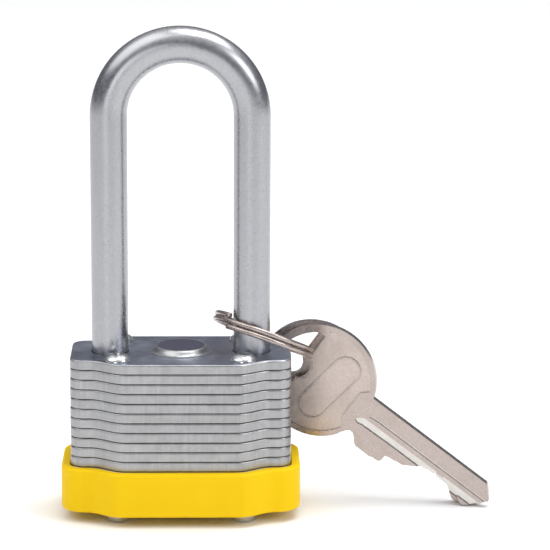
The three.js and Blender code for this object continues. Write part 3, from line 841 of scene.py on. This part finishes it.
class PADLOCK_OT_springs(Operator):
    """Winds the springs of the pins and of the locking dogs"""
    bl_idname = "padlock.springs"
    bl_label = "Springs"

    def execute(self, context):
        for i in range(1, 5):
            low, high = (Vector(corner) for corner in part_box(f"pin_spring_{i}"))
            middle = (low + high) / 2
            seat, front = Vector((low.x, middle.y, middle.z)), Vector((high.x, middle.y, middle.z))
            wire = 0.14 * MM
            piece = coil("spring", seat, front, (high.z - low.z) / 2 - wire, wire, 5)
            done(piece, f"wound_pin_spring_{i}", finishes()["spring"], "lock_body",
                 [f"pin_spring_{i}"], 60)
            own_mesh(piece)
        low, high = (Vector(corner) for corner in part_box("dog_spring"))
        middle = (low + high) / 2
        wire = 0.2 * MM
        piece = coil("spring", (low.x, middle.y, middle.z), (high.x, middle.y, middle.z),
                     (high.z - low.z) / 2 - wire - 0.1 * MM, wire, 9)
        done(piece, "wound_dog_spring", finishes()["spring"], "lock_body", ["dog_spring"], 60)
        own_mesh(piece)
        return {"FINISHED"}


# ---- ring and keys ---------------------------------------------------------------------
def swing(name):
    """The pivot and axis on which a key swings on the ring."""
    joint = JOINTS[name]
    return Vector(joint["pos_m"]), Vector(joint["axis"]).normalized()


class PADLOCK_OT_ring(Operator):
    """Winds the two turns of the split ring"""
    bl_idname = "padlock.ring"
    bl_label = "Split Ring"

    def execute(self, context):
        sizes = context.scene.padlock_keys
        centre = Vector((14.6, 3.75, 1.9)) * MM + Vector((0, 0, TOP))
        right_slope, back_slope = 0.381, 0.29
        normal = Vector((right_slope, back_slope, 1)).normalized()
        across = Vector((1, 0, -right_slope)).normalized()
        back = normal.cross(across)
        pitch = 2 * sizes.wire + 0.06 * MM
        turns, steps = 2, 192
        start = math.radians(218)
        stations = []
        for i in range(steps + 1):
            part = i / steps
            angle = start + 2 * math.pi * turns * part
            height = -pitch + 2 * pitch * part
            radius = sizes.wire
            if i in (0, steps):
                radius *= 0.7
            stations.append(((sizes.ring * math.cos(angle), sizes.ring * math.sin(angle), height), radius))
        # a short round-over at each end of the wire
        for end, near in ((0, 1), (-1, -2)):
            tip, inner = Vector(stations[end][0]), Vector(stations[near][0])
            step = (tip - inner).normalized() * 0.12 * MM
            point = (tuple(tip - step), sizes.wire)
            if end == 0:
                stations.insert(1, point)
            else:
                stations.insert(len(stations) - 1, point)
        piece = tube("ring", stations, 20, (0, 0, 1))
        tilt = Matrix((across, back, normal)).transposed().to_4x4()
        piece.data.transform(Matrix.Translation(centre) @ tilt)
        done(piece, "wound_split_ring", finishes()["nickel"], "ring", ["split_ring"], 60)
        return {"FINISHED"}


def in_mm(*points):
    return [(x * MM, y * MM) for x, y in points]


def key_outline(bow):
    """The blank's outline from its bow's centre, blade along +X."""
    spine = 3.45 * MM
    neck = (8.35, 6.2)  # where the bow meets the bitted edge, below its centre
    start = math.atan2(spine, math.sqrt(bow * bow - spine * spine))
    end = 2 * math.pi - math.atan2(neck[1], neck[0])
    shoulder = in_mm(
        (8.75, -5.35), (9.25, -4.6), (9.95, -3.95), (11.0, -3.7), (12.1, -3.85), (12.7, -4.4),
        (13.2, -5.1), (13.8, -5.5), (17.0, -5.55), (17.45, -5.35), (17.65, -4.9), (17.7, -3.95))
    bitting = in_mm(
        (18.6, -3.55), (21.2, -3.3), (23.1, -2.05), (24.6, -1.2), (26.6, -1.2), (27.3, -0.1),
        (27.6, 0.0), (27.9, -0.05), (28.7, -1.0), (31.2, -1.0), (33.4, -2.45), (33.9, -2.5), (34.4, -2.5))
    tip = in_mm((36.3, -0.35), (37.3, 0.8), (37.4, 1.1), (37.25, 1.35), (35.6, 3.2), (35.2, 3.45))
    return arc(0, 0, bow, start, end, 110) + shoulder + bitting + tip


def stadium(half_length, half_width, depth0, depth1, steps=14):
    """A round-ended bar across the bow."""
    points = [(x, y + half_length) for x, y in arc(0, 0, half_width, 0, math.pi, steps)]
    points += [(x, y - half_length) for x, y in arc(0, 0, half_width, math.pi, 2 * math.pi, steps)]
    return prism(points, depth0, depth1)


def ring_hole(bow, past):
    """The hole for the ring: a segment under the rim, with a round bay towards the blade."""
    limit = bow - 1.4 * MM
    chord, hole_half = -3.85 * MM, 7.4 * MM
    sweep_angle = max(math.acos(chord / limit), math.pi - math.asin(hole_half / limit))
    segment = arc(0, 0, limit, sweep_angle, 2 * math.pi - sweep_angle, 40)
    hole = prism([(chord, hole_half)] + segment + [(chord, -hole_half)], -past, past)
    bay = post(-5.2 * MM, 0, -past, past, 2.6 * MM, 40)
    return hole, bay


def sunk_field(bow, rim, low, high):
    """The field of one face, inside the rim, less the blade's shoulder, the hole's lip and the frame."""
    over = MM
    field = post(0, 0, low, high, bow - rim, 96)
    shoulder = prism(in_mm((7.2, -3.2), (8.2, -4.6), (12, -4.6), (12, 3.9), (8.4, 3.9), (7.25, 2.75)),
                     low - over, high + over)
    lip = prism(in_mm((-10, -8.6), (-3.4, -8.6), (-3.4, -2.4), (-2.1, -1.0),
                      (-2.1, 1.0), (-3.4, 2.4), (-3.4, 8.6), (-10, 8.6)), low - over, high + over)
    frame_bar = stadium(4.4 * MM, 2.75 * MM, low - over, high + over)
    inside = stadium(4.4 * MM, 2.35 * MM, low - 2 * over, high + 2 * over)
    lean = Matrix.Translation((2.3 * MM, 0, 0)) @ Matrix.Rotation(math.radians(-8), 4, "Z")
    for shape in (frame_bar, inside):
        shape.data.transform(lean)
    cut(frame_bar, inside)
    return cut(field, shoulder, lip, frame_bar)


def blade_grooves(half, past):
    """The milled grooves: a wide and a narrow one on the front, one on the back."""
    wide = prism(in_mm((9.3, -1.7), (9.9, -1.0), (10.8, -0.5), (40, -0.3), (40, -1.75), (17, -1.75),
                       (11, -1.9), (10.0, -2.1)), half - 0.4 * MM, past)
    narrow = prism(in_mm((11.2, 0.2), (13.2, 0.42), (40, 0.42), (40, 0.72), (13.2, 0.72), (11.4, 0.5)),
                   half - 0.28 * MM, past)
    rear = prism(in_mm((10.2, 0.9), (11.2, 0.55), (40, 0.55), (40, 2.0), (11.2, 2.0), (10.2, 1.7)),
                 -past, -half + 0.45 * MM)
    return wide, narrow, rear


def key_mesh(sizes):
    """One cut key, its bow's centre at the origin and its front face towards +Z."""
    bow, half = sizes.bow, sizes.thickness / 2
    past = 3 * MM
    piece = prism(key_outline(bow), -half, half)
    cut(piece, *ring_hole(bow, past))
    for side in (-1, 1):
        floor, outside = side * (half - sizes.sink), side * (half + MM)
        cut(piece, sunk_field(bow, sizes.rim, min(floor, outside), max(floor, outside)))
    cut(piece, *blade_grooves(half, past))
    return bevel(piece, 0.09 * MM, 2, 30)


def key_tone(face, sizes):
    """0 for plated faces, 1 for the sunk field of the bow, 2 for faces cut into the blade."""
    half = sizes.thickness / 2
    height = abs(face.center.z)
    flat = abs(face.normal.z) > 0.9
    on_bow = Vector(face.center[:2]).length < sizes.bow - 0.6 * MM
    if flat and on_bow and abs(height - (half - sizes.sink)) < 0.05 * MM:
        return 1
    if not on_bow and flat and height < half - 0.1 * MM:
        return 2
    return 0


class PADLOCK_OT_keys(Operator):
    """Cuts the two keys and hangs them on the ring"""
    bl_idname = "padlock.keys"
    bl_label = "Keys"

    def execute(self, context):
        sizes = context.scene.padlock_keys
        blank = key_mesh(sizes)
        seats = {"front_key": (-5.6 * MM, 2.5 * MM), "rear_key": (-5.7 * MM, 2.2 * MM)}
        for node, (seat_x, seat_y) in seats.items():
            pivot, axis = swing(f"{node}_swing")
            across = axis.cross(Vector((0, 0, 1))).normalized()
            if across.x < 0:
                across = -across
            down = sizes.pitch
            along = across * math.cos(down) - Vector((0, 0, math.sin(down)))
            up = across * math.sin(down) + Vector((0, 0, math.cos(down)))
            place = Matrix((along, up, along.cross(up))).transposed().to_4x4()
            place.translation = pivot - along * seat_x - up * seat_y
            piece = bpy.data.objects.new(node, blank.data.copy())
            context.scene.collection.objects.link(piece)
            tones = [key_tone(face, sizes) for face in piece.data.polygons]
            piece.data.transform(place)
            done(piece, f"cut_{node}", finishes()["nickel"], node, [node], 30)
            piece.data.materials.append(finishes()["field"])
            piece.data.materials.append(finishes()["milled"])
            for face, tone in zip(piece.data.polygons, tones):
                face.material_index = tone
        bpy.data.objects.remove(blank)
        return {"FINISHED"}


# ---- stage -----------------------------------------------------------------------------
def area_light(name, spot, aim, size, power):
    data = bpy.data.lights.new(name, "AREA")
    data.shape = "SQUARE"
    data.size = size
    data.energy = power
    light = bpy.data.objects.new(name, data)
    light.location = spot
    light.rotation_euler = (Vector(aim) - Vector(spot)).to_track_quat("-Z", "Y").to_euler()
    bpy.context.scene.collection.objects.link(light)


class PADLOCK_OT_stage(Operator):
    """Sets out the floor, the soft lights and the camera"""
    bl_idname = "padlock.stage"
    bl_label = "Stage"

    def execute(self, context):
        scene = context.scene
        view = scene.padlock_stage
        floor = make("floor", [(-4, -4, 0), (4, -4, 0), (4, 4, 0), (-4, 4, 0)], [(0, 1, 2, 3)])
        floor.location.z = CAD_BOX[0][2]
        floor.data.materials.append(finishes()["floor"])

        world = bpy.data.worlds.new("studio")
        world.use_nodes = True
        scene.world = world
        tree = world.node_tree
        background = tree.nodes["Background"]
        where = tree.nodes.new("ShaderNodeTexCoord")
        split = tree.nodes.new("ShaderNodeSeparateXYZ")
        ramp = tree.nodes.new("ShaderNodeValToRGB")
        tree.links.new(where.outputs["Generated"], split.inputs[0])
        tree.links.new(split.outputs["Z"], ramp.inputs["Fac"])
        # dim round the horizon and bright overhead, so that round steel gets its dark streaks
        stops = ramp.color_ramp.elements
        stops[0].position, stops[0].color = 0.0, (0.17, 0.18, 0.21, 1)
        stops[1].position, stops[1].color = 0.9, (0.95, 0.95, 0.95, 1)
        stops.new(0.4).color = (0.24, 0.25, 0.28, 1)
        # the backdrop itself is pale
        seen = tree.nodes.new("ShaderNodeLightPath").outputs["Is Camera Ray"]
        pale = tree.nodes.new("ShaderNodeMix")
        pale.data_type = "RGBA"
        sockets = [socket for socket in pale.inputs if socket.type == "RGBA"]
        tree.links.new(seen, pale.inputs[0])
        tree.links.new(ramp.outputs["Color"], sockets[0])
        sockets[1].default_value = (0.9, 0.9, 0.9, 1)
        tree.links.new(next(out for out in pale.outputs if out.type == "RGBA"), background.inputs["Color"])
        background.inputs["Strength"].default_value = 1.0

        area_light("key_softbox", (-0.70, -0.20, 0.95), (0, 0, 0.01), 1.1, 5.5)
        area_light("front_softbox", (-0.35, -1.20, 0.15), (0, 0, 0), 0.5, 1.5)
        area_light("fill_softbox", (0.80, -0.45, 0.50), (0, 0, 0.01), 0.45, 3.0)
        area_light("top_softbox", (0.30, 0.10, 1.0), (0, 0, 0), 0.7, 7.0)

        middle = Vector((0, 0, TOP + 15 * MM))
        level_out = Vector((math.sin(view.azimuth), -math.cos(view.azimuth), 0))
        spot = middle + (level_out * math.cos(view.elevation)
                         + Vector((0, 0, math.sin(view.elevation)))) * view.distance
        look = (middle - spot).normalized()
        right = look.cross(Vector((0, 0, 1))).normalized()
        upward = right.cross(look)
        aside, below = 16.64 * MM, 1.30 * MM  # the keys hang to the right of the lock
        aim = middle + right * aside - upward * below
        data = bpy.data.cameras.new("camera")
        data.lens = view.lens
        data.sensor_width = 36.0
        data.clip_start = 0.01
        camera = bpy.data.objects.new("camera", data)
        camera.location = spot
        facing = (aim - spot).to_track_quat("-Z", "Y").to_matrix().to_4x4()
        camera.matrix_world = Matrix.Translation(spot) @ facing @ Matrix.Rotation(view.roll, 4, "Z")
        scene.collection.objects.link(camera)
        scene.camera = camera
        scene.view_settings.view_transform = "Standard"
        return {"FINISHED"}


# ---- panel and registration ------------------------------------------------------------
PIECES = (PADLOCK_OT_plates, PADLOCK_OT_rivets, PADLOCK_OT_cap, PADLOCK_OT_bumper, PADLOCK_OT_shackle,
          PADLOCK_OT_cylinder, PADLOCK_OT_springs, PADLOCK_OT_ring, PADLOCK_OT_keys, PADLOCK_OT_stage)
GROUPS = {"padlock_body": PadlockBodySizes, "padlock_fittings": PadlockFittingSizes,
          "padlock_keys": PadlockKeySizes, "padlock_finishes": PadlockFinishes,
          "padlock_stage": PadlockStageSizes}


class PADLOCK_PT_panel(Panel):
    """Lists the padlock's pieces with their sizes and colours"""
    bl_label = "Safety Padlock"
    bl_idname = "PADLOCK_PT_panel"
    bl_space_type = "VIEW_3D"
    bl_region_type = "UI"
    bl_category = "Padlock"

    def draw(self, context):
        column = self.layout.column()
        for operator in PIECES:
            column.operator(operator.bl_idname)
        for name, group in GROUPS.items():
            column.separator()
            for key in group.__annotations__:
                column.prop(getattr(context.scene, name), key)


def register():
    for group in GROUPS.values():
        bpy.utils.register_class(group)
    for name, group in GROUPS.items():
        setattr(bpy.types.Scene, name, PointerProperty(type=group))
    for operator in PIECES:
        bpy.utils.register_class(operator)
    bpy.utils.register_class(PADLOCK_PT_panel)


def unregister():
    bpy.utils.unregister_class(PADLOCK_PT_panel)
    for operator in reversed(PIECES):
        bpy.utils.unregister_class(operator)
    for name, group in GROUPS.items():
        delattr(bpy.types.Scene, name)
        bpy.utils.unregister_class(group)


def main():
    register()
    for operator in PIECES:
        package, name = operator.bl_idname.split(".")
        getattr(getattr(bpy.ops, package), name)()


if __name__ == "__main__":
    main()
